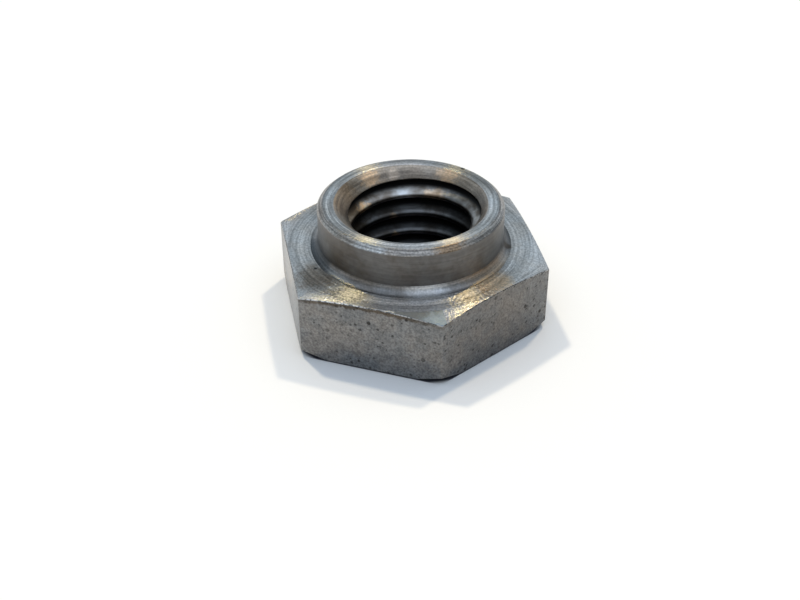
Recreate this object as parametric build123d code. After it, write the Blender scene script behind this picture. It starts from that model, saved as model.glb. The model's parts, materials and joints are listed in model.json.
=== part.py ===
from build123d import *
import os
from math import cos, radians, tan

# Hex weld nut for an M8 coarse thread: a hexagon with a round collar on one end.
# It is one piece, parted from cold-drawn hexagonal steel bar and turned on a lathe,
# so the solid is made in the same way: a hexagonal bar, cut by one turned profile and
# then tapped.
# Frame: origin at the centre of the bearing face, which is the hexagon's end away from
# the collar. +Z runs along the thread's axis, towards the collar. Two of the hexagon's
# corners lie on the X axis, and two of its flats face along Y. Sizes are in millimetres.

# Hexagonal bar
across_flats = 14.0
hex_height = 4.15

# Bearing face: a cone takes off the six corners
corner_cut = 0.63            # how far in from each corner the cone reaches
corner_cut_angle = 30.0      # degrees from the bearing face

# Collar side of the hexagon: the tool leaves a flat ring, then falls away to the corners
face_margin = 0.05           # the ring stops this far inside the flats
face_fall_angle = 13.0       # degrees below the ring

# Bore, at the size that the thread's crests leave
bore_d = 6.8
countersink_width = 0.95     # radial width of the countersink at the collar's mouth
bearing_countersink_width = 0.9
countersink_angle = 90.0     # included angle of both countersinks

# Thread: it winds to the left, and the groove is as deep as its flanks and flats leave it
pitch = 1.25
crest_flat = 0.62            # left at the bore between two turns of the groove
root_flat = 0.05             # along the bottom of the groove
thread_angle = 60.0          # between the groove's flanks
thread_turn = -4.0           # degrees from +X to where the groove crosses the bearing face

# Collar
collar_height = 2.6
rim_width = 0.6              # flat ring between the countersink and the outer chamfer
rim_chamfer = 0.3            # radial width of the outer chamfer
rim_chamfer_angle = 40.0     # degrees from the rim
collar_fillet = 0.45         # radius in the corner between the collar and the hexagon

# Derived sizes
bore_r = bore_d / 2
mouth_r = bore_r + countersink_width
bearing_mouth_r = bore_r + bearing_countersink_width
rim_r = mouth_r + rim_width
collar_r = rim_r + rim_chamfer
flat_r = across_flats / 2
corner_r = flat_r / cos(radians(30))
face_ring_r = flat_r - face_margin
bearing_ring_r = corner_r - corner_cut
overall_height = hex_height + collar_height
swing_r = corner_r + corner_cut      # the turned profile's outside, clear of the corners
flank = tan(radians(thread_angle / 2))
groove_depth = (pitch - crest_flat - root_flat) / 2 / flank
run_out = 0.6 * pitch                # the tap passes each end by this much
tooth_root = 0.3                     # the tap's tooth starts this deep in its core


def drop(radial, angle):
    """Axial drop of a cone that lies at an angle to the end face over a radial width."""
    return radial * tan(radians(angle))


def depth(radial):
    """Axial depth of a countersink of this radial width."""
    return radial / tan(radians(countersink_angle / 2))


def turned_profile():
    """Half section of everything that the lathe cuts, in the XZ plane."""
    collar_foot = (collar_r, hex_height)
    outline = Polyline(
        (bearing_mouth_r, 0),
        (bearing_ring_r, 0),
        (swing_r, drop(swing_r - bearing_ring_r, corner_cut_angle)),
        (swing_r, hex_height - drop(swing_r - face_ring_r, face_fall_angle)),
        (face_ring_r, hex_height),
        collar_foot,
        (collar_r, overall_height - drop(rim_chamfer, rim_chamfer_angle)),
        (rim_r, overall_height),
        (mouth_r, overall_height),
        (bore_r, overall_height - depth(countersink_width)),
        (bore_r, depth(bearing_countersink_width)),
        close=True,
    )
    section = make_face(outline)
    foot = section.vertices().sort_by_distance(collar_foot)[0]
    shoulder = face_ring_r - collar_r
    return Plane.XZ * fillet(foot, radius=min(collar_fillet, 0.9 * shoulder))


def tooth_profile(place):
    """Section of the tap's tooth on a plane whose X axis points outward from the bore."""
    tip = root_flat / 2
    base = tip + (groove_depth + tooth_root) * flank
    outline = Polyline(
        (-tooth_root, -base),
        (groove_depth, -tip),
        (groove_depth, tip),
        (-tooth_root, base),
        close=True,
    )
    return place * make_face(outline)


def tap():
    """A core of the bore's size with the tooth wound round it on a left-hand helix."""
    length = overall_height + 2 * run_out
    start_turn = thread_turn + 360 * run_out / pitch
    winding = Helix(pitch=pitch, height=length, radius=bore_r, lefthand=True)
    path = Pos(0, 0, -run_out) * Rot(0, 0, start_turn) * winding
    start = path @ 0
    outward = Vector(start.X, start.Y, 0)
    place = Plane(origin=start, x_dir=outward, z_dir=path % 0)
    tooth = sweep(tooth_profile(place), path=path, is_frenet=True)
    core = Pos(0, 0, overall_height / 2) * Cylinder(bore_r, length + 2 * pitch)
    return core + tooth


def weld_nut():
    """The hexagonal bar, cut to the turned profile and then tapped."""
    hexagon = RegularPolygon(radius=flat_r, side_count=6, major_radius=False)
    bar = extrude(hexagon, amount=overall_height)
    blank = bar & revolve(turned_profile(), axis=Axis.Z)
    return blank - tap()


nut = weld_nut()
nut.label = "weld_nut"

os.makedirs("parts", exist_ok=True)
export_step(nut, "parts/weld_nut.step")
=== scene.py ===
"""Looks of a hex weld nut: one piece of bare steel, with its real left-hand thread.

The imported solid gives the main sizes. The visible nut is one closed surface: at each angle round
the axis, a half section runs from the bearing face's mouth up the hexagon and the collar, over
the rim, and down the threaded bore. Each stretch of that section has the finish its tool left.
"""

import json
import math

import bpy
import numpy as np
from mathutils import Matrix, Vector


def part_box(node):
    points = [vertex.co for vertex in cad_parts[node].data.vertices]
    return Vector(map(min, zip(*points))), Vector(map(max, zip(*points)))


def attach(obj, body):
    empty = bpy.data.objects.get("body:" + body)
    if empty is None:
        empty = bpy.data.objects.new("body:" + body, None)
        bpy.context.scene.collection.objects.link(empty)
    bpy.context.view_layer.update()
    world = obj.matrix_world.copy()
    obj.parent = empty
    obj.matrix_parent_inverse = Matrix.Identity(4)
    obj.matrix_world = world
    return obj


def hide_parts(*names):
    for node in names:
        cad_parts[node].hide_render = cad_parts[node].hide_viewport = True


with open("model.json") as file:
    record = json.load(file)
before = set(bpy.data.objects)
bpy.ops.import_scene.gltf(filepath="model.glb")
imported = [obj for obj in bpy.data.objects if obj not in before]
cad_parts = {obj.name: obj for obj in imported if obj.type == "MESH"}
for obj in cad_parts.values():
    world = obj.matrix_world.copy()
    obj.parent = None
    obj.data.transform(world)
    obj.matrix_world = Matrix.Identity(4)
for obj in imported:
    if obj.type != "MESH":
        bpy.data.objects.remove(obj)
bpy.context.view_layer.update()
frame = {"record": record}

MM = 0.001
TAU = 2 * math.pi

# ---------------------------------------------------------------- sizes, in millimetres

low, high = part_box("weld_nut")
mounts = {mount["name"]: mount for mount in frame["record"]["mounts"]}

FLAT_R = (high.y - low.y) / 2 / MM             # from the axis to a flat
CORNER_R = (high.x - low.x) / 2 / MM           # from the axis to a corner
TOP_Z = high.z / MM
HEX_TOP = mounts["weld_face"]["pos_m"][2] / MM
COLLAR_R = mounts["collar"]["dims"]["r_mm"]
CREST_R = mounts["thread"]["dims"]["r_mm"]

CORNER_ROUND = 0.12                            # radius along the hexagon's upright edges
BEARING_RING_R = CORNER_R - 0.63               # the corner cone starts here
BEARING_ANGLE = 30.0
FACE_RING_R = FLAT_R - 0.05                    # the turned ring on the collar side ends here
FACE_ANGLE = 13.0
FOOT_ROUND = 0.45                              # fillet between the collar and the hexagon
RIM_CHAMFER = 0.3
RIM_ANGLE = 40.0
RIM_WIDTH = 0.6
MOUTH_R = COLLAR_R - RIM_CHAMFER - RIM_WIDTH
BEARING_MOUTH_R = CREST_R + 0.9
COUNTERSINK_ANGLE = 45.0                       # from the axis
BROKEN_EDGE = 0.05                             # between the flats and the collar side
BROKEN_IN = BROKEN_EDGE * 0.6                  # its reach in from a flat
BROKEN_DOWN = BROKEN_EDGE * 0.7                # and down it
LOWER_BREAK = 0.10                             # broken edge round the bearing face
SOFT_EDGE = 0.03                               # blend along the edges of the collar and the bore
SOFT_DROP = SOFT_EDGE * 0.8                    # and its height at the rim's chamfer
BURNISHED = (281.0, 301.5)                     # the rubbed corner, in degrees from +X

PITCH = 1.25
ROOT_R = 4.04                                  # bottom of the thread's grooves
CREST_WIDTH = 0.25                             # the flat of a new crest
CREST_WEAR = 0.21                              # blend along a crest's upper edge
CREST_EDGE = 0.06                              # and along its lower edge
ROOT_ROUND = 0.10                              # blend between a flank and the groove's bottom
FLANK_ANGLE = 30.0
CREST_Z = 3.975                                # height of a crest where it faces the +Y flat
CONE_FADE = 0.12                               # blend of the thread's finish into the cone's

# How finely the surface is drawn
SECTOR = 60.0                                  # degrees from a corner to the next
CORNER_HALF = 0.9                              # degrees on each side of a corner drawn closely
CORNER_COLUMNS = 8
FLAT_COLUMNS = 52
FOOT_ROWS = 11
BORE_ROWS = 171

# ---------------------------------------------------------------- the nut's surface


def rise(radial, angle):
    """Height of a cone at this angle to the end face over a radial width."""
    return radial * math.tan(math.radians(angle))


def around():
    """Angles of the half sections: evenly over each flat, and closer together at each corner."""
    corner = np.linspace(-CORNER_HALF, CORNER_HALF, CORNER_COLUMNS + 1)[:-1]
    flat = np.linspace(CORNER_HALF, SECTOR - CORNER_HALF, FLAT_COLUMNS + 1)[:-1]
    sector = np.concatenate([corner, flat])
    return np.radians(np.concatenate([sector + SECTOR * k for k in range(6)]))


def hexagon_r(theta):
    """Distance from the axis to the hexagon: flat over the cosine of the angle from the flat's
    middle, and a small circle round each corner."""
    from_corner = (theta + math.pi / 6) % (math.pi / 3) - math.pi / 6
    from_flat = np.abs(from_corner) - math.pi / 6
    flat = FLAT_R / np.cos(from_flat)
    centre = (FLAT_R - CORNER_ROUND) / math.cos(math.pi / 6)
    inside = CORNER_ROUND ** 2 - (centre * np.sin(from_corner)) ** 2
    circle = centre * np.cos(from_corner) + np.sqrt(np.maximum(inside, 0))
    touch = math.pi / 6 - math.atan((FLAT_R - CORNER_ROUND) / FLAT_R * math.tan(math.pi / 6))
    return np.where(np.abs(from_corner) < touch, circle, flat)


def smooth_max(a, b, width):
    """The larger of two fields, blended over a width where they cross."""
    h = np.clip(0.5 + 0.5 * (a - b) / width, 0, 1)
    return b + (a - b) * h + width * h * (1 - h)


def thread_r(theta, z):
    """Radius of the tapped wall. Turns are counted from a crest at +Y: they grow by one for each
    pitch of height and for each turn round the axis, which winds the thread left-handed. Away
    from a crest's middle the wall goes out along flanks 60 degrees apart, from a crest that is
    worn round on top and sharp below, to a rounded root."""
    turns = (z - CREST_Z) / PITCH + theta / TAU - 0.25
    above_crest = (turns - np.round(turns)) * PITCH
    flank = (np.abs(above_crest) - CREST_WIDTH / 2) / math.tan(math.radians(FLANK_ANGLE))
    depth = ROOT_R - CREST_R
    zero = np.zeros_like(flank)
    wall = np.where(above_crest > 0, smooth_max(flank, zero, CREST_WEAR),
                    smooth_max(flank, zero, CREST_EDGE))
    wall = depth - smooth_max(depth - wall, zero, ROOT_ROUND)
    return CREST_R + wall


def countersink_r(z):
    """Radius of the cone at each end of the hole, whichever is wider at this height."""
    slope = math.tan(math.radians(COUNTERSINK_ANGLE))
    upper = MOUTH_R - (TOP_Z - z) * slope
    lower = BEARING_MOUTH_R - z * slope
    return np.maximum(upper, lower)


def bore_r(theta, z):
    """Radius of the hole: the thread, opened by a countersink cone at each end."""
    return smooth_max(thread_r(theta, z), countersink_r(z), SOFT_EDGE)


def near_cone(theta, z):
    """Nought on the thread, rising to one where a countersink's cone grows wider than it."""
    return np.clip(1 + (countersink_r(z) - thread_r(theta, z)) / CONE_FADE, 0, 1)


def between(start, end, rows, ease=0.0):
    """Points on a straight line from start to end, leaving out the end. A sine of the way along,
    times ease, crowds them towards both ends."""
    t = np.linspace(0, 1, rows + 1)[:-1, None]
    t = t - ease * np.sin(TAU * t) / TAU
    (r0, z0), (r1, z1) = start, end
    return r0 + (r1 - r0) * t, z0 + (z1 - z0) * t


def runs(stations):
    """Half section rows and their finish, from stations of (radius, height, rows, ease, finish):
    each is joined to the next by a straight run."""
    radius, height, finish = [], [], []
    for here, there in zip(stations, stations[1:]):
        r, z = between(here[:2], there[:2], here[2], here[3])
        radius.append(r)
        height.append(z)
        finish += [here[4]] * len(r)
    return radius, height, finish


def outer_rows(theta):
    """Half section outside the bore, from the bearing face's mouth to the collar's mouth."""
    side = hexagon_r(theta)
    zero = np.zeros_like(side)
    ring = np.minimum(BEARING_RING_R, side - LOWER_BREAK)
    low_edge = rise(np.maximum(side - BEARING_RING_R, 0), BEARING_ANGLE) + LOWER_BREAK
    side_top = HEX_TOP - rise(side - FACE_RING_R, FACE_ANGLE) - BROKEN_DOWN
    brink_r = side - BROKEN_IN
    brink_z = HEX_TOP - rise(brink_r - FACE_RING_R, FACE_ANGLE)
    foot_r = COLLAR_R + FOOT_ROUND
    rim_r = COLLAR_R - RIM_CHAMFER
    chamfer_z = TOP_Z - rise(RIM_CHAMFER, RIM_ANGLE)

    body = runs([
        (zero + BEARING_MOUTH_R, zero, 14, 0.9, "bearing_face"),
        (ring, zero, 6, 0.9, "lower_edge"),
        (side, low_edge, 18, 0.95, "drawn_flat"),
        (side, side_top, 3, 0.0, "broken_edge"),
        (brink_r, brink_z, 8, 0.9, "fallen_face"),
        (zero + FACE_RING_R, zero + HEX_TOP, 10, 0.9, "turned_face"),
        (zero + foot_r, zero + HEX_TOP, 0, 0.0, "turned_face"),
    ])

    turn = np.linspace(0, math.pi / 2, FOOT_ROWS + 1)[:-1, None]
    foot = ([foot_r - FOOT_ROUND * np.sin(turn) + zero],
            [HEX_TOP + FOOT_ROUND * (1 - np.cos(turn)) + zero], ["collar_foot"] * len(turn))

    collar = runs([
        (zero + COLLAR_R, zero + HEX_TOP + FOOT_ROUND, 12, 0.9, "turned_wall"),
        (zero + COLLAR_R, zero + chamfer_z - SOFT_EDGE, 3, 0.0, "chamfer"),
        (zero + COLLAR_R - SOFT_EDGE, zero + chamfer_z + SOFT_DROP, 6, 0.9, "chamfer"),
        (zero + rim_r + SOFT_EDGE, zero + TOP_Z - SOFT_DROP, 3, 0.0, "chamfer"),
        (zero + rim_r - SOFT_EDGE, zero + TOP_Z, 8, 0.9, "rim_face"),
        (zero + MOUTH_R + SOFT_EDGE, zero + TOP_Z, 3, 0.0, "rim_face"),
        (zero + MOUTH_R - SOFT_EDGE, zero + TOP_Z - SOFT_EDGE, 0, 0.0, "rim_face"),
    ])
    parts = [body, foot, collar]
    return (np.concatenate([row for part in parts for row in part[0]]),
            np.concatenate([row for part in parts for row in part[1]]),
            [name for part in parts for name in part[2]])


def nut_grid():
    """Angles, then radius and height of every point as (rows, angles) arrays, and the finish of
    each face between a row and the next. The rows go round a closed half section. The face that
    falls away to the corners is burnished at the front one and turned at the others."""
    theta = around()
    out_r, out_z, row_finish = outer_rows(theta)
    finish = np.array(row_finish)[:, None].repeat(len(theta), axis=1)
    z = np.linspace(TOP_Z - SOFT_EDGE, 0.0, BORE_ROWS + 1)[:-1, None] + np.zeros_like(theta)
    cut = np.where(countersink_r(z) > thread_r(theta, z), "countersink", "tapped_thread")
    start, end = np.radians(BURNISHED)
    burnished = (theta > start) & (theta < end)
    fallen = finish == "fallen_face"
    finish[fallen & burnished] = "corner_face"
    finish[fallen & ~burnished] = "turned_face"
    return (theta, np.concatenate([out_r, bore_r(theta, z)]), np.concatenate([out_z, z]),
            np.concatenate([finish, cut]))


def path_length(r, z):
    """Length along the half section from its first row to each row, in millimetres, with one
    more row that closes it. Taken at the first angle, so rings stay rings."""
    r, z = r[:, :1], z[:, :1]
    closed_r = np.concatenate([r, r[:1]])
    closed_z = np.concatenate([z, z[:1]])
    steps = np.hypot(np.diff(closed_r, axis=0), np.diff(closed_z, axis=0))
    return np.concatenate([[0.0], np.cumsum(steps[:, 0])])


def flat_top_path():
    """Length along the half section to the top of the hexagon's flats."""
    theta, r, z, finish = nut_grid()
    on_flat = np.flatnonzero(finish[:, 0] == "drawn_flat")
    return float(path_length(r, z)[on_flat[-1] + 1])


def add_faces(mesh, theta, r, z):
    """The points, turned from angle, radius and height to X, Y and Z, and the faces between each
    row and column and the next. The last of both joins the first, which closes the surface."""
    points = np.stack([r * np.cos(theta), r * np.sin(theta), z], axis=2) * MM
    rows, columns = r.shape
    row = np.arange(rows)[:, None]
    column = np.arange(columns)[None, :]
    above = (row + 1) % rows
    beside = (column + 1) % columns
    faces = np.stack([row * columns + column, row * columns + beside,
                      above * columns + beside, above * columns + column], axis=2)
    mesh.from_pydata(points.reshape(-1, 3), [], faces.reshape(-1, 4))


def add_section_map(mesh, theta, r, z):
    """The section UV map: U is the share of a turn round the axis, V is the length along the
    half section in millimetres."""
    turn = np.append(theta, TAU) / TAU
    path = path_length(r, z)
    grid = np.zeros(r.shape)
    left = grid + turn[:-1]
    right = grid + turn[1:]
    start = grid + path[:-1, None]
    end = grid + path[1:, None]
    corners = np.stack([left, start, right, start, right, end, left, end], axis=2)
    section = mesh.uv_layers.new(name="section")
    section.data.foreach_set("uv", corners.reshape(-1))


def add_finishes(mesh, finish, materials):
    """Gives each face the material that its finish names."""
    slots = np.zeros(finish.shape, dtype=np.int32)
    for index, (name, material) in enumerate(materials.items()):
        mesh.materials.append(material)
        slots[finish == name] = index
    mesh.polygons.foreach_set("material_index", slots.reshape(-1))


def weld_nut(materials):
    """The closed surface on the grid of angles and section points. Its near_cone attribute lets
    the thread's finish turn softly into the countersinks'."""
    theta, r, z, finish = nut_grid()
    mesh = bpy.data.meshes.new("nut_surface")
    add_faces(mesh, theta, r, z)
    add_section_map(mesh, theta, r, z)
    fade = mesh.attributes.new("near_cone", "FLOAT", "POINT")
    fade.data.foreach_set("value", near_cone(theta, z).reshape(-1))
    add_finishes(mesh, finish, materials)
    mesh.shade_smooth()
    mesh.update()
    nut = bpy.data.objects.new("nut_surface", mesh)
    bpy.context.scene.collection.objects.link(nut)
    return nut


# ---------------------------------------------------------------- shader building blocks


def add_node(tree, kind, inputs=None, **settings):
    """A node with its settings, and its inputs set to values or linked to sockets."""
    node = tree.nodes.new(kind)
    for name, value in settings.items():
        setattr(node, name, value)
    for name, value in (inputs or {}).items():
        if isinstance(value, bpy.types.NodeSocket):
            tree.links.new(value, node.inputs[name])
        else:
            node.inputs[name].default_value = value
    return node


def math_of(tree, operation, a, b=0.0, clamp=False):
    """One operation on two values."""
    return add_node(tree, "ShaderNodeMath", {0: a, 1: b}, operation=operation,
                    use_clamp=clamp).outputs[0]


def vector_of(tree, operation, a, b=(0.0, 0.0, 0.0)):
    """One operation on two vectors, which gives a vector."""
    return add_node(tree, "ShaderNodeVectorMath", {0: a, 1: b}, operation=operation).outputs[0]


def value_of(tree, operation, a, b=(0.0, 0.0, 0.0)):
    """One operation on two vectors, which gives a value."""
    return add_node(tree, "ShaderNodeVectorMath", {0: a, 1: b},
                    operation=operation).outputs["Value"]


def axes_of(tree, vector):
    """The X, Y and Z of a vector."""
    return add_node(tree, "ShaderNodeSeparateXYZ", {0: vector}).outputs


def scaled(tree, vector, factor):
    """The vector times a factor."""
    return add_node(tree, "ShaderNodeVectorMath", {0: vector, "Scale": factor},
                    operation="SCALE").outputs[0]


def remap(tree, value, start, end, low=0.0, high=1.0):
    """Eases from low to high as the value goes from start to end, and stays there."""
    return add_node(tree, "ShaderNodeMapRange",
                    {"Value": value, "From Min": start, "From Max": end,
                     "To Min": low, "To Max": high}, interpolation_type="SMOOTHSTEP").outputs[0]


def blend(tree, factor, a, b, mode="MIX"):
    """Colour a, giving way to b, or to a times b, as the factor goes from nought to one."""
    return add_node(tree, "ShaderNodeMix", {"Factor": factor, "A": a, "B": b},
                    data_type="RGBA", blend_type=mode).outputs["Result"]


def shaded(tree, colour, tone, dark, light):
    """The colour times a shade that goes from dark to light with the tone."""
    return blend(tree, 1.0, colour, blend(tree, tone, dark, light), "MULTIPLY")


def noise(tree, point, scale=1.0, detail=2.0, roughness=0.5):
    """Smooth random values round a half."""
    return add_node(tree, "ShaderNodeTexNoise",
                    {"Vector": point, "Scale": scale, "Detail": detail,
                     "Roughness": roughness}).outputs["Fac"]


def object_mm(tree):
    """Object coordinates in millimetres."""
    where = add_node(tree, "ShaderNodeTexCoord").outputs["Object"]
    return scaled(tree, where, 1 / MM)


def section_path(tree):
    """Length along the half section, in millimetres."""
    section = add_node(tree, "ShaderNodeUVMap", uv_map="section").outputs["UV"]
    return axes_of(tree, section)["Y"]


def new_group(name, inputs, outputs):
    """An empty shader group with float sockets, and its inner input and output sockets."""
    group = bpy.data.node_groups.new(name, "ShaderNodeTree")
    for label, value in inputs.items():
        socket = group.interface.new_socket(label, in_out="INPUT",
                                            socket_type="NodeSocketFloat")
        socket.default_value = value
    for label in outputs:
        group.interface.new_socket(label, in_out="OUTPUT", socket_type="NodeSocketFloat")
    given = group.nodes.new("NodeGroupInput").outputs
    result = group.nodes.new("NodeGroupOutput").inputs
    return group, given, result


def turning_marks_group():
    """Rings left by a lathe tool: noise that changes fast along the half section and slowly
    round the axis. Lines is how many cross a millimetre, Reach how often a ring changes."""
    group, given, result = new_group(
        "turning_marks", {"Lines": 10.0, "Reach": 2.0, "Shift": 0.0}, ["Height", "Tone"])
    where = add_node(group, "ShaderNodeTexCoord").outputs["Object"]
    outward = vector_of(group, "NORMALIZE", vector_of(group, "MULTIPLY", where, (1, 1, 0)))
    ring = math_of(group, "MULTIPLY", section_path(group), given["Lines"])
    ring = math_of(group, "ADD", ring, given["Shift"])
    along = add_node(group, "ShaderNodeCombineXYZ", {"Z": ring}).outputs[0]
    point = vector_of(group, "ADD", scaled(group, outward, given["Reach"]), along)
    marks = noise(group, point, detail=3.0, roughness=0.65)
    group.links.new(marks, result["Height"])
    group.links.new(remap(group, marks, 0.36, 0.64), result["Tone"])
    return group


def steel_grain_group():
    """Mottle with no direction, in patches about Size millimetres across. Detail is how many
    finer layers lie on it."""
    group, given, result = new_group(
        "steel_grain", {"Size": 0.2, "Shift": 0.0, "Detail": 3.0}, ["Height", "Tone"])
    point = vector_of(group, "ADD", object_mm(group),
                      add_node(group, "ShaderNodeCombineXYZ", {"X": given["Shift"]}).outputs[0])
    point = scaled(group, point, math_of(group, "DIVIDE", 0.5, given["Size"]))
    grain = noise(group, point, detail=given["Detail"], roughness=0.6)
    group.links.new(grain, result["Height"])
    group.links.new(remap(group, grain, 0.34, 0.66), result["Tone"])
    return group


def pits_group():
    """Small holes: one in each cell of Spacing millimetres, of random radius up to Size, of
    which only this Share is left. Their outline wanders, and their edge fades in."""
    wander = 0.10
    fade = 0.04
    group, given, result = new_group(
        "pits", {"Spacing": 0.5, "Size": 0.1, "Share": 0.5}, ["Mask"])
    point = object_mm(group)
    ragged = add_node(group, "ShaderNodeTexNoise", {"Vector": point, "Scale": 9.0,
                                                    "Detail": 1.0}).outputs["Color"]
    ragged = scaled(group, vector_of(group, "SUBTRACT", ragged, (0.5, 0.5, 0.5)), wander)
    point = vector_of(group, "ADD", point, ragged)
    point = scaled(group, point, math_of(group, "DIVIDE", 1.0, given["Spacing"]))
    cell = add_node(group, "ShaderNodeTexVoronoi", {"Vector": point, "Scale": 1.0}).outputs
    away = math_of(group, "MULTIPLY", cell["Distance"], given["Spacing"])
    chance = add_node(group, "ShaderNodeSeparateColor", {0: cell["Color"]}).outputs[0]
    left_out = math_of(group, "SUBTRACT", 1.0, given["Share"])
    over = math_of(group, "SUBTRACT", chance, left_out)
    over = math_of(group, "DIVIDE", over, given["Share"], clamp=True)
    radius = math_of(group, "MULTIPLY", over, given["Size"])
    inside = math_of(group, "SUBTRACT", radius, away)
    inside = math_of(group, "DIVIDE", inside, fade, clamp=True)
    group.links.new(inside, result["Mask"])
    return group


def stain_and_light_patch_group():
    """A ragged patch round the point X, Y, Z, in millimetres, fading out over Radius. Grain is
    how many specks of its edge cross a millimetre."""
    group, given, result = new_group(
        "smudge", {"X": 0.0, "Y": 0.0, "Z": 0.0, "Radius": 1.0, "Ragged": 0.5, "Grain": 3.0},
        ["Mask"])
    point = object_mm(group)
    centre = add_node(group, "ShaderNodeCombineXYZ",
                      {"X": given["X"], "Y": given["Y"], "Z": given["Z"]}).outputs[0]
    away = value_of(group, "DISTANCE", point, centre)
    edge = math_of(group, "SUBTRACT", noise(group, point, given["Grain"], 3.0, 0.6), 0.5)
    edge = math_of(group, "MULTIPLY", edge, given["Ragged"])
    share = math_of(group, "DIVIDE", away, given["Radius"])
    reach = math_of(group, "ADD", share, edge)
    group.links.new(remap(group, reach, 1.0, 0.35), result["Mask"])
    return group


turning_marks = turning_marks_group()
steel_grain = steel_grain_group()
pits = pits_group()
smudge = stain_and_light_patch_group()

# ---------------------------------------------------------------- materials


def grey(level, warmth=0.0):
    """A steel colour of this level, browner or, below nought, bluer."""
    return (level * (1 + 1.5 * warmth), level, level * (1 - 1.5 * warmth), 1)


def at(turn, radius, height):
    """Where a stain, painted light or painted shade is: degrees from +X, millimetres from the axis
    and above the floor.
    """
    return {"X": radius * math.cos(math.radians(turn)),
            "Y": radius * math.sin(math.radians(turn)), "Z": height}


def group_in(tree, group, **inputs):
    """The outputs of a shader group that is placed with these values."""
    return add_node(tree, "ShaderNodeGroup", inputs, node_tree=group).outputs


def stained_and_lit(tree, colour, stains_and_light):
    """The colour under patches of stain, painted light and painted shade, each of (place, radius,
    raggedness, tint, and grain if it isn't 3).
    """
    for place, radius, ragged, tint, *grain in stains_and_light:
        mask = group_in(tree, smudge, Radius=radius, Ragged=ragged,
                        Grain=grain[0] if grain else 3.0, **place)["Mask"]
        colour = blend(tree, mask, colour, tint, "MULTIPLY")
    return colour


def new_steel(name, anisotropic=0.0):
    """A metal material, its node tree and its shader's inputs. Highlights of a turned finish
    spread across its rings."""
    material = bpy.data.materials.new(name)
    material.use_nodes = True
    tree = material.node_tree
    shader = tree.nodes["Principled BSDF"]
    shader.inputs["Metallic"].default_value = 1.0
    if anisotropic:
        shader.inputs["Anisotropic"].default_value = anisotropic
        shader.inputs["Anisotropic Rotation"].default_value = 0.25
        tangent = add_node(tree, "ShaderNodeTangent", direction_type="UV_MAP", uv_map="section")
        tree.links.new(tangent.outputs["Tangent"], shader.inputs["Tangent"])
    return material, tree, shader.inputs


def bumped(tree, heights):
    """A normal from layers of (height, depth in millimetres)."""
    normal = None
    for height, depth in heights:
        inputs = {"Height": height, "Distance": depth * MM}
        if normal:
            inputs["Normal"] = normal
        normal = add_node(tree, "ShaderNodeBump", inputs).outputs["Normal"]
    return normal


BROWN = grey(0.30, 0.20)
BLACK = grey(0.15)
# Painted glint: brightens the colour where the lamps' highlights sparkle
PAINTED_GLINT = grey(2.20)

# Radius and height of places on the finishes
ON_FACE = (FLAT_R - 0.80, HEX_TOP)
ON_EDGE = (FLAT_R, HEX_TOP - 0.15)
ON_FOOT = (COLLAR_R + 0.15, HEX_TOP + 0.25)
LOW_ON_FOOT = (COLLAR_R + 0.15, HEX_TOP + 0.15)
ON_CHAMFER = (COLLAR_R - 0.15, TOP_Z - 0.15)
ON_CONE = (MOUTH_R - 0.25, TOP_Z - 0.35)

# Rust where the collar meets the face
FOOT_STAIN = (at(12, COLLAR_R + 0.19, HEX_TOP + 0.15), 0.45, 0.6, BROWN)
# The rust, painted shade that dims the lamps' highlights in front, a painted warm sheen to the
# right, two painted glints and a pit
FACE_MARKS_AND_PAINTED_LIGHT = [FOOT_STAIN,
               (at(234, *ON_FACE), 1.7, 1.0, grey(0.50, 0.08)),
               (at(256, *ON_FACE), 1.5, 1.0, grey(0.55, 0.02)),
               (at(320, *ON_FACE), 1.3, 1.0, grey(0.52, 0.02)),
               (at(335, *ON_FACE), 1.4, 0.8, grey(1.05, 0.18)),
               (at(256, *ON_FACE), 1.0, 5.0, PAINTED_GLINT, 7.0),
               (at(319, *ON_FACE), 1.0, 5.0, PAINTED_GLINT, 7.0),
               (at(226.9, FLAT_R - 1.03, HEX_TOP), 0.16, 0.3, BLACK)]
# A nick in the rim
RIM_STAINS = [(at(69.7, COLLAR_R - 0.38, TOP_Z), 0.18, 0.3, BLACK)]
# The chamfer in front: a painted bluish highlight on the left, and painted shade, browner, on the
# right
CHAMFER_PAINTED_LIGHT = [(at(262, *ON_CHAMFER), 1.3, 1.6, grey(1.60, -0.06)),
                  (at(312, *ON_CHAMFER), 1.2, 1.6, grey(0.70, 0.16))]
# The countersink: three painted highlights on its far side, and painted shade on the left and
# right
CONE_PAINTED_LIGHT = [(at(145, *ON_CONE), 0.8, 1.8, grey(1.50, 0.12)),
               (at(78, *ON_CONE), 0.8, 1.8, grey(1.40, 0.10)),
               (at(123, MOUTH_R - 0.35, TOP_Z - 0.45), 0.50, 0.8, grey(1.90, 0.02)),
               (at(186, *ON_CONE), 2.5, 0.7, grey(0.50, 0.14)),
               (at(28, *ON_CONE), 1.9, 0.8, grey(0.50, 0.0))]
# The collar's foot: the rust, painted shade round both sides, and a painted highlight in front
FOOT_RUST_AND_PAINTED_LIGHT = [FOOT_STAIN,
               (at(214, *ON_FOOT), 2.8, 0.4, grey(0.25, -0.06)),
               (at(20, *ON_FOOT), 2.2, 0.4, grey(0.40, 0.0)),
               (at(258, *LOW_ON_FOOT), 1.3, 0.5, grey(0.75, 0.04)),
               (at(297, COLLAR_R + 0.20, HEX_TOP + 0.05), 1.5, 0.8, grey(2.20, -0.02)),
               (at(340, *LOW_ON_FOOT), 2.6, 0.5, grey(0.85, 0.14))]
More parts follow.
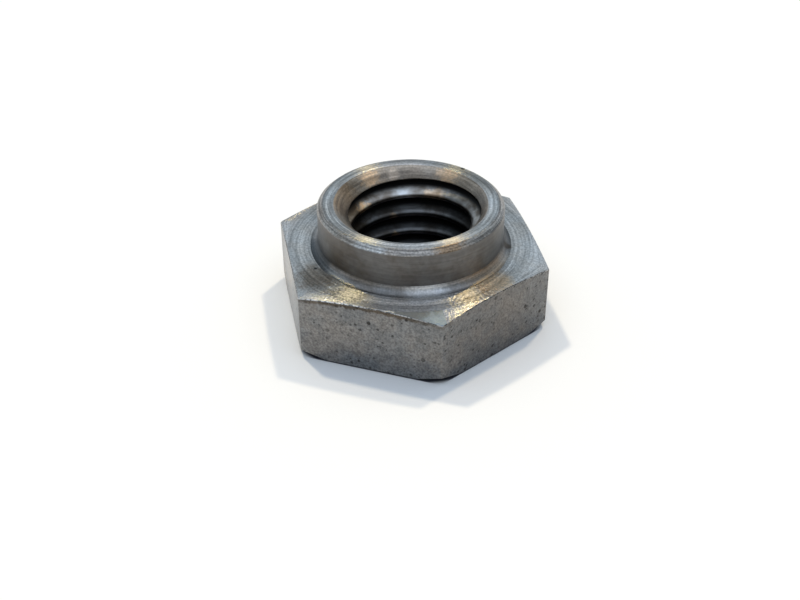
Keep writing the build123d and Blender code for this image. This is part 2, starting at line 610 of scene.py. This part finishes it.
# Darker down both sides of the bore, and painted golden glints and a pale painted highlight on the
# crests of its far side
BORE_DARK_SIDES_AND_GLINTS = [(at(178, 3.6, 4.9), 2.7, 0.8, grey(0.30, 0.18)),
            (at(48, 3.6, 4.8), 2.7, 0.8, grey(0.32, 0.0)),
            (at(118, 3.5, 5.0), 0.9, 1.0, grey(1.25, -0.03)),
            (at(160, 3.45, 5.0), 0.6, 2.0, grey(3.2, 0.14)),
            (at(84, 3.45, 5.2), 0.8, 2.0, grey(1.5, 0.14)),
            (at(126, 3.45, 3.75), 0.35, 1.0, grey(2.0, 0.20)),
            (at(124, 3.45, 2.50), 0.35, 1.0, grey(2.4, 0.24))]
# Painted shade on the broken edge to the right and left, so that it is bright only in front
EDGE_PAINTED_SHADE = [(at(330, *ON_EDGE), 4.6, 0.6, grey(0.40, 0.04)),
               (at(216, *ON_EDGE), 4.0, 0.6, grey(0.50, 0.0))]
# The flats: painted shade on the front-right one, and a painted reflection that brightens the left
# one
FLAT_PAINTED_LIGHT = [(at(330, FLAT_R, 2.0), 5.5, 0.8, grey(0.84, 0.03)),
               (at(210, FLAT_R, 2.0), 4.6, 0.3, grey(1.90))]
# Where the flats' upper edge is worn brown, and the depths below it where that ends and is full
WORN_EDGE = {"Radius": 5.5, "Ragged": 0.5, **at(268, FLAT_R, HEX_TOP - 0.25)}
WORN_DEPTHS = (0.40, 0.26)
# Round the rubbed corner's tip, which is painted brighter as a highlight
CORNER_TIP_HIGHLIGHT = {"Radius": 1.5, "Ragged": 0.8, **at(300, CORNER_R, HEX_TOP)}
# Painted shade: the thread keeps its colour inside the first radius and is painted near black
# outside the second, down in its grooves
GROOVE_SHADE_RADII = (CREST_R + 0.30, CREST_R + 0.60)
# Painted shade and light: its crests are darker below the first height, deeper in the bore, and
# brighter above the second
CREST_SHADE_HEIGHTS = (3.9, 5.3)


def turned_steel(name, level, warmth, roughness, anisotropic, lines=7.0, depth=0.003,
                 contrast=0.18, grit=0.2, glint=0.009, depth_shade=None, stains_and_light=()):
    """A face straight from the lathe: fine rings, a few that stand out, and specks whose depth is
    glint. Where a pair of heights is given, painted shade darkens it downward between them."""
    material, tree, sockets = new_steel(name, anisotropic)
    fine = group_in(tree, turning_marks, Lines=lines, Reach=1.2)
    coarse = group_in(tree, turning_marks, Lines=lines * 0.45, Reach=0.5, Shift=7.0)
    speck = group_in(tree, steel_grain, Size=0.055, Detail=0.0)
    cloud = group_in(tree, steel_grain, Size=1.1, Shift=3.0)
    colour = blend(tree, fine["Tone"], grey(level * (1 - contrast), warmth),
                   grey(level * (1 + contrast), warmth))
    colour = shaded(tree, colour, coarse["Tone"], grey(1 - contrast * 0.8),
                    grey(1 + contrast * 0.4))
    colour = shaded(tree, colour, cloud["Tone"], grey(0.90, 0.02), grey(1.05, -0.02))
    colour = shaded(tree, colour, speck["Tone"], grey(1 - grit), grey(1 + grit))
    # Painted shade: darker downward between the given heights
    if depth_shade:
        height = axes_of(tree, object_mm(tree))["Z"]
        colour = shaded(tree, colour, remap(tree, height, *depth_shade), grey(0.30), grey(1.0))
    tree.links.new(stained_and_lit(tree, colour, stains_and_light), sockets["Base Color"])
    tree.links.new(remap(tree, coarse["Height"], 0.35, 0.65, roughness * 0.9,
                         roughness * 1.1), sockets["Roughness"])
    tree.links.new(bumped(tree, [(fine["Height"], depth), (coarse["Height"], depth * 1.5),
                                 (speck["Height"], glint)]), sockets["Normal"])
    return material


def corner_steel(name):
    """The face that falls away at the front corner: burnished, painted brighter and bluer towards
    its tip as a highlight, with a fine grain."""
    material, tree, sockets = new_steel(name)
    grain = group_in(tree, steel_grain, Size=0.07)
    mottle = group_in(tree, steel_grain, Size=0.25, Shift=2.0)
    tip = group_in(tree, smudge, **CORNER_TIP_HIGHLIGHT)["Mask"]
    # Painted highlight: brighter and bluer towards the tip
    colour = blend(tree, tip, grey(0.15, -0.04), grey(0.30, -0.10))
    colour = shaded(tree, colour, grain["Tone"], grey(0.92), grey(1.08))
    tree.links.new(colour, sockets["Base Color"])
    tree.links.new(remap(tree, grain["Height"], 0.3, 0.7, 0.34, 0.42), sockets["Roughness"])
    tree.links.new(bumped(tree, [(mottle["Height"], 0.002), (grain["Height"], 0.0007)]),
                   sockets["Normal"])
    return material


def drawn_steel(name):
    """The bar's drawn flats: dull, fine grained, with small dark pits, worn along part of their
    upper edge, and with painted shade on the front-right flat and a painted reflection on the left
    one."""
    material, tree, sockets = new_steel(name)
    grain = group_in(tree, steel_grain, Size=0.06)
    mottle = group_in(tree, steel_grain, Size=0.20, Shift=2.0)
    cloud = group_in(tree, steel_grain, Size=1.0, Shift=3.0)
    large = group_in(tree, pits, Spacing=0.60, Size=0.15, Share=0.65)["Mask"]
    small = group_in(tree, pits, Spacing=0.26, Size=0.12, Share=0.8)["Mask"]
    colour = blend(tree, mottle["Tone"], grey(0.165, 0.01), grey(0.205, 0.01))
    colour = shaded(tree, colour, grain["Tone"], grey(0.76), grey(1.24))
    colour = shaded(tree, colour, cloud["Tone"], grey(0.93, -0.03), grey(1.05, 0.02))
    holes = math_of(tree, "MAXIMUM", large, math_of(tree, "MULTIPLY", small, 0.8))
    holes = math_of(tree, "MULTIPLY", holes, remap(tree, cloud["Tone"], 0.0, 1.0, 1.0, 0.45))
    colour = blend(tree, holes, colour, grey(0.04, 0.02))
    below = math_of(tree, "SUBTRACT", flat_top_path(), section_path(tree))
    below = math_of(tree, "ADD", below, math_of(tree, "MULTIPLY", mottle["Height"], 0.30))
    front = group_in(tree, smudge, **WORN_EDGE)["Mask"]
    worn = math_of(tree, "MULTIPLY", remap(tree, below, *WORN_DEPTHS), front)
    colour = blend(tree, worn, colour, grey(0.40, 0.12), "MULTIPLY")
    # Painted shade on the front-right flat and a painted reflection on the left one
    tree.links.new(stained_and_lit(tree, colour, FLAT_PAINTED_LIGHT), sockets["Base Color"])
    tree.links.new(remap(tree, mottle["Height"], 0.3, 0.7, 0.29, 0.37), sockets["Roughness"])
    sunk = math_of(tree, "MULTIPLY", holes, -1.0)
    tree.links.new(bumped(tree, [(mottle["Height"], 0.006), (grain["Height"], 0.006),
                                 (sunk, 0.012)]), sockets["Normal"])
    return material


def wall_steel(name):
    """The collar's wall: dark, smooth, faintly ringed and clouded brown."""
    material, tree, sockets = new_steel(name, 0.5)
    fine = group_in(tree, turning_marks, Lines=6.0, Reach=2.0, Shift=2.0)
    cloud = group_in(tree, steel_grain, Size=0.7, Shift=5.0)
    speck = group_in(tree, steel_grain, Size=0.15, Shift=8.0)
    colour = blend(tree, cloud["Tone"], grey(0.110, 0.06), grey(0.155, 0.02))
    colour = shaded(tree, colour, fine["Tone"], grey(0.90), grey(1.08))
    colour = shaded(tree, colour, speck["Tone"], grey(0.92), grey(1.06))
    tree.links.new(stained_and_lit(tree, colour, [FOOT_STAIN]), sockets["Base Color"])
    tree.links.new(remap(tree, cloud["Height"], 0.3, 0.7, 0.34, 0.46), sockets["Roughness"])
    tree.links.new(bumped(tree, [(fine["Height"], 0.004), (speck["Height"], 0.004)]),
                   sockets["Normal"])
    return material


def thread_steel(name):
    """Tapped thread: bright crests, darker down both sides of the bore, with painted shade that
    darkens the crests deeper in the bore and makes the grooves nearly black, and painted golden
    glints on the far crests. Next to a countersink it takes on that cone's colour."""
    material, tree, sockets = new_steel(name, 0.4)
    fine = group_in(tree, turning_marks, Lines=7.0, Reach=3.0, Shift=4.0)
    speck = group_in(tree, steel_grain, Size=0.12)
    cloud = group_in(tree, steel_grain, Size=0.7, Shift=6.0)
    point = object_mm(tree)
    height = axes_of(tree, point)["Z"]
    radius = value_of(tree, "LENGTH", vector_of(tree, "MULTIPLY", point, (1, 1, 0)))
    crest = blend(tree, fine["Tone"], grey(0.40, 0.04), grey(0.54, 0.02))
    crest = shaded(tree, crest, cloud["Tone"], grey(0.38, 0.08), grey(1.10, -0.01))
    # Painted shade: the crests darken deeper in the bore, and brighten near the top
    crest = shaded(tree, crest, remap(tree, height, *CREST_SHADE_HEIGHTS), grey(0.26, -0.04),
                   grey(1.15))
    # Darker down both sides of the bore, and painted golden glints on its far crests
    crest = stained_and_lit(tree, crest, BORE_DARK_SIDES_AND_GLINTS)
    # Painted shade: near black down in the grooves
    colour = blend(tree, remap(tree, radius, *GROOVE_SHADE_RADII), crest, grey(0.014, 0.02))
    cone = add_node(tree, "ShaderNodeAttribute", attribute_name="near_cone").outputs["Fac"]
    colour = blend(tree, cone, colour, grey(0.30, 0.09))
    tree.links.new(colour, sockets["Base Color"])
    tree.links.new(remap(tree, radius, CREST_R, ROOT_R, 0.28, 0.62), sockets["Roughness"])
    tree.links.new(bumped(tree, [(fine["Height"], 0.003), (speck["Height"], 0.006)]),
                   sockets["Normal"])
    return material


# ---------------------------------------------------------------- stage

CAMERA_AZIMUTH = 18.218
CAMERA_ELEVATION = 34.991
CAMERA_ROLL = 0.096
CAMERA_DISTANCE = 69.18 * MM
CAMERA_LENS = 52.76
CAMERA_SHIFT = (-0.01343, 0.00079)

FLOOR_COLOUR = (0.90, 0.90, 0.90, 1)
FLOOR_GLOW = 0.05
FLOOR_HALF = 3.0                               # metres
FLOOR_DROP = 1e-5                              # metres, so that it doesn't touch the nut
CONTACT_SHADOW_COLOUR = (0.10, 0.10, 0.12, 1)

OVERHEAD_LIGHT = (0.80, 0.92, 1.08, 1)
OVERHEAD_TOWARDS = (0.0, -0.17, 0.985)         # the middle of the overhead light
BACK_LIGHT = (0.36, 0.44, 0.50, 1)
FRONT_LIGHT = (0.10, 0.12, 0.14, 1)
HORIZON_LIGHT = (0.82, 0.86, 0.90, 1)
WINDOW_LIGHT = (0.84, 1.00, 1.16, 1)

SUN_HEIGHT = 60.0                              # degrees above the floor
WARM_WHITE = (1.0, 0.88, 0.74)


def add_camera():
    """The camera turned round the nut's axis, then raised, with a little roll."""
    data = bpy.data.cameras.new("camera")
    data.lens = CAMERA_LENS
    data.clip_start = 0.001
    data.clip_end = 50
    data.shift_x, data.shift_y = CAMERA_SHIFT
    camera = bpy.data.objects.new("camera", data)
    bpy.context.scene.collection.objects.link(camera)
    azimuth = math.radians(CAMERA_AZIMUTH)
    elevation = math.radians(CAMERA_ELEVATION)
    roll = math.radians(CAMERA_ROLL)
    back = np.array([math.sin(azimuth) * math.cos(elevation),
                     -math.cos(azimuth) * math.cos(elevation), math.sin(elevation)])
    right = np.array([math.cos(azimuth), math.sin(azimuth), 0.0])
    up = np.cross(back, right)
    across = right * math.cos(roll) + up * math.sin(roll)
    upright = -right * math.sin(roll) + up * math.cos(roll)
    camera.location = back * CAMERA_DISTANCE
    camera.rotation_euler = Matrix((across, upright, back)).transposed().to_euler()
    bpy.context.scene.camera = camera


def seen_rays(tree):
    """One for what the camera, the steel's reflections and glass would see, else nought."""
    rays = add_node(tree, "ShaderNodeLightPath").outputs
    seen = math_of(tree, "MAXIMUM", rays["Is Camera Ray"], rays["Is Glossy Ray"])
    return math_of(tree, "MAXIMUM", seen, rays["Is Transmission Ray"])


def under_nut(tree):
    """One inside the bearing face's outline, where the nut stands on the paper, else nought.
    It is the hexagon, by its three widths, within a circle that takes off the corners."""
    point = object_mm(tree)
    reach = 0.0
    for turn in (30, 90, 150):
        facing = (math.cos(math.radians(turn)), math.sin(math.radians(turn)), 0)
        across = math_of(tree, "ABSOLUTE", value_of(tree, "DOT_PRODUCT", point, facing))
        reach = math_of(tree, "MAXIMUM", across, reach)
    in_circle = remap(tree, value_of(tree, "LENGTH", point), CORNER_R - 0.15, CORNER_R - 0.50)
    in_hexagon = remap(tree, reach, FLAT_R, FLAT_R - 0.08)
    return math_of(tree, "MULTIPLY", in_hexagon, in_circle)


def add_floor():
    """Pale paper, with a painted contact shadow under the nut. What the camera and the steel see
    of it is lifted to white, and it keeps the nut's shadow."""
    corners = [(x * FLOOR_HALF, y * FLOOR_HALF, -FLOOR_DROP)
               for x, y in ((-1, -1), (1, -1), (1, 1), (-1, 1))]
    mesh = bpy.data.meshes.new("floor")
    mesh.from_pydata(corners, [], [(0, 1, 2, 3)])
    floor = bpy.data.objects.new("floor", mesh)
    bpy.context.scene.collection.objects.link(floor)
    material = bpy.data.materials.new("floor_paper")
    material.use_nodes = True
    tree = material.node_tree
    sockets = tree.nodes["Principled BSDF"].inputs
    # Painted contact shadow: the paper is near black under the nut
    contact_shadow = under_nut(tree)
    tree.links.new(blend(tree, contact_shadow, FLOOR_COLOUR, CONTACT_SHADOW_COLOUR), sockets["Base Color"])
    sockets["Roughness"].default_value = 0.9
    sockets["Specular IOR Level"].default_value = 0.0
    sockets["Emission Color"].default_value = (1, 1, 1, 1)
    glow = math_of(tree, "MULTIPLY", math_of(tree, "SUBTRACT", 1.0, contact_shadow), FLOOR_GLOW)
    glow = math_of(tree, "MULTIPLY", glow, seen_rays(tree))
    tree.links.new(glow, sockets["Emission Strength"])
    mesh.materials.append(material)


def add_sun(name, azimuth, strength, angle, colour, mirrored):
    """A lamp far off, behind the nut as the camera sees it: azimuth is from straight behind
    towards the right. Steel mirrors only the lamps that are mirrored."""
    data = bpy.data.lights.new(name, "SUN")
    data.energy = strength
    data.angle = math.radians(angle)
    data.color = colour
    sun = bpy.data.objects.new(name, data)
    sun.visible_glossy = mirrored
    bpy.context.scene.collection.objects.link(sun)
    sun.rotation_euler = (math.radians(90 - SUN_HEIGHT), 0,
                          math.radians(CAMERA_AZIMUTH - azimuth + 180))


def add_world():
    """A plain studio, turned with the camera: a soft light overhead, a dimmer wall behind the
    nut, dark where the camera stands. The camera and the steel also see a pale band all round
    the horizon, and a window on the left and right of the wall."""
    world = bpy.data.worlds.new("world")
    bpy.context.scene.world = world
    world.use_nodes = True
    tree = world.node_tree
    where = add_node(tree, "ShaderNodeTexCoord").outputs["Generated"]
    turned = add_node(tree, "ShaderNodeVectorRotate",
                      {"Vector": where, "Angle": -math.radians(CAMERA_AZIMUTH)},
                      rotation_type="Z_AXIS").outputs[0]
    axes = axes_of(tree, turned)
    seen = seen_rays(tree)

    behind = remap(tree, axes["Y"], -0.7, 0.5)
    walls = blend(tree, behind, FRONT_LIGHT, BACK_LIGHT)
    overhead = remap(tree, value_of(tree, "DOT_PRODUCT", turned, OVERHEAD_TOWARDS), 0.50, 0.90)
    room = blend(tree, overhead, walls, OVERHEAD_LIGHT)

    aside = remap(tree, math_of(tree, "ABSOLUTE", axes["X"]), 0.12, 0.34)
    on_wall = remap(tree, axes["Y"], 0.25, 0.55)
    below_top = remap(tree, axes["Z"], 0.72, 0.55)
    window = math_of(tree, "MULTIPLY", aside, on_wall)
    window = math_of(tree, "MULTIPLY", window, below_top)
    window = math_of(tree, "MULTIPLY", window, seen)
    lit = blend(tree, window, room, WINDOW_LIGHT)

    band = remap(tree, math_of(tree, "ABSOLUTE", axes["Z"]), 0.35, 0.10)
    band = math_of(tree, "MULTIPLY", band, seen)
    sky = blend(tree, band, lit, HORIZON_LIGHT)
    tree.links.new(sky, tree.nodes["Background"].inputs["Color"])


# ---------------------------------------------------------------- the nut and its stage

steels = [
    turned_steel("bearing_face", level=0.36, warmth=0.01, roughness=0.42, anisotropic=0.6),
    drawn_steel("drawn_flat"),
    # Painted shade: the broken edge round the bearing face is near black, for the dark line where
    # the nut meets the paper
    turned_steel("lower_edge", level=0.07, warmth=0.0, roughness=0.45, anisotropic=0.0),
    turned_steel("broken_edge", level=0.60, warmth=0.02, roughness=0.34, anisotropic=0.0,
                 contrast=0.5, grit=0.6, glint=0.014, stains_and_light=EDGE_PAINTED_SHADE),
    corner_steel("corner_face"),
    turned_steel("turned_face", level=0.52, warmth=0.03, roughness=0.33, anisotropic=1.0,
                 depth=0.005, glint=0.008, grit=0.15, contrast=0.22, stains_and_light=FACE_MARKS_AND_PAINTED_LIGHT),
    turned_steel("rim_face", level=0.52, warmth=0.03, roughness=0.33, anisotropic=1.0,
                 lines=8.0, depth=0.004, glint=0.007, grit=0.12, contrast=0.36,
                 stains_and_light=RIM_STAINS),
    # Painted shade: the collar's foot is darker than the face, for the shade in its crease
    turned_steel("collar_foot", level=0.26, warmth=0.02, roughness=0.36, anisotropic=0.6,
                 glint=0.004, grit=0.10, stains_and_light=FOOT_RUST_AND_PAINTED_LIGHT),
    wall_steel("turned_wall"),
    turned_steel("chamfer", level=0.24, warmth=0.05, roughness=0.34, anisotropic=0.6,
                 lines=9.0, depth=0.004, contrast=0.45, stains_and_light=CHAMFER_PAINTED_LIGHT),
    turned_steel("countersink", level=0.36, warmth=0.11, roughness=0.32, anisotropic=0.9,
                 lines=6.0, depth=0.004, glint=0.006, grit=0.10, contrast=0.30,
                 depth_shade=(5.7, 6.7), stains_and_light=CONE_PAINTED_LIGHT),
    thread_steel("tapped_thread"),
]
nut = weld_nut({steel.name: steel for steel in steels})
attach(nut, "root")
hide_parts("weld_nut")

add_camera()
add_floor()
add_world()
# Two suns throw the shadows, and two weak golden ones are mirrored in the steel
add_sun("back_left", -36, strength=0.86, angle=5, colour=WARM_WHITE, mirrored=False)
add_sun("back_right", 31, strength=0.61, angle=5, colour=WARM_WHITE, mirrored=False)
add_sun("back_left_glint", -36, strength=0.26, angle=2, colour=(1.0, 0.82, 0.35), mirrored=True)
add_sun("back_right_glint", 31, strength=0.28, angle=2, colour=(1.0, 0.76, 0.32), mirrored=True)

bpy.context.scene.view_settings.view_transform = "Standard"
